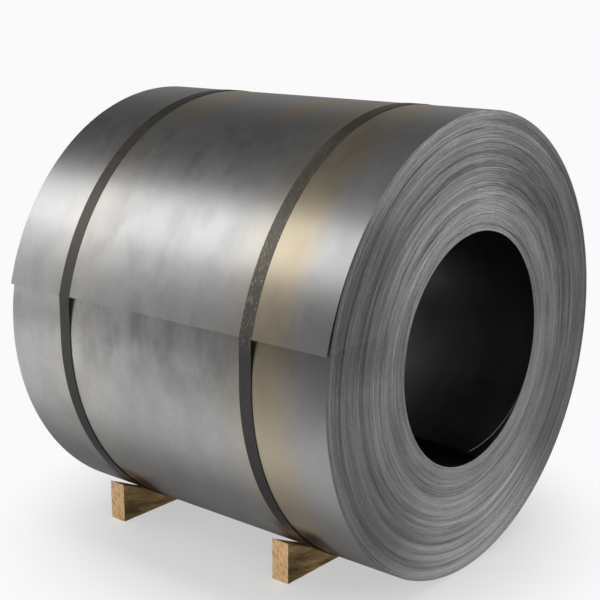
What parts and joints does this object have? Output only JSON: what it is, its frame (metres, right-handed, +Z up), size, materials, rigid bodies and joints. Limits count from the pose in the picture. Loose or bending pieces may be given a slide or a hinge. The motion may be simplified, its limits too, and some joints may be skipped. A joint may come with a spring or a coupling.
{
  "type": "steel coil",
  "caption": "Roll of flat steel strip with an open bore and a sprung outer end, bound by flat steel straps and held on the floor by wooden wedge chocks.",
  "frame": {"origin": "on the floor, under the middle of the coil", "axes": "+X along the coil's axis towards the end that the picture shows, -Y to the front where the strip's outer end lies, +Z up"},
  "size_m": [0.91, 1.0079, 1.008],
  "materials": {
    "strip_steel": "satin mill finish with fine rolling lines and faint heat tint beside the straps",
    "strap_steel": "dark waxed strapping, rubbed bright along its edges",
    "seal_steel": "dull galvanised sheet",
    "pine": "rough sawn, untreated"
  },
  "bodies": {
    "root": {"coil": "strip_steel", "strap_left": "strap_steel", "strap_right": "strap_steel", "seal_left": "seal_steel", "seal_right": "seal_steel", "chock_front_left": "pine", "chock_front_right": "pine", "chock_back_left": "pine", "chock_back_right": "pine"}
  },
  "joints": []
}
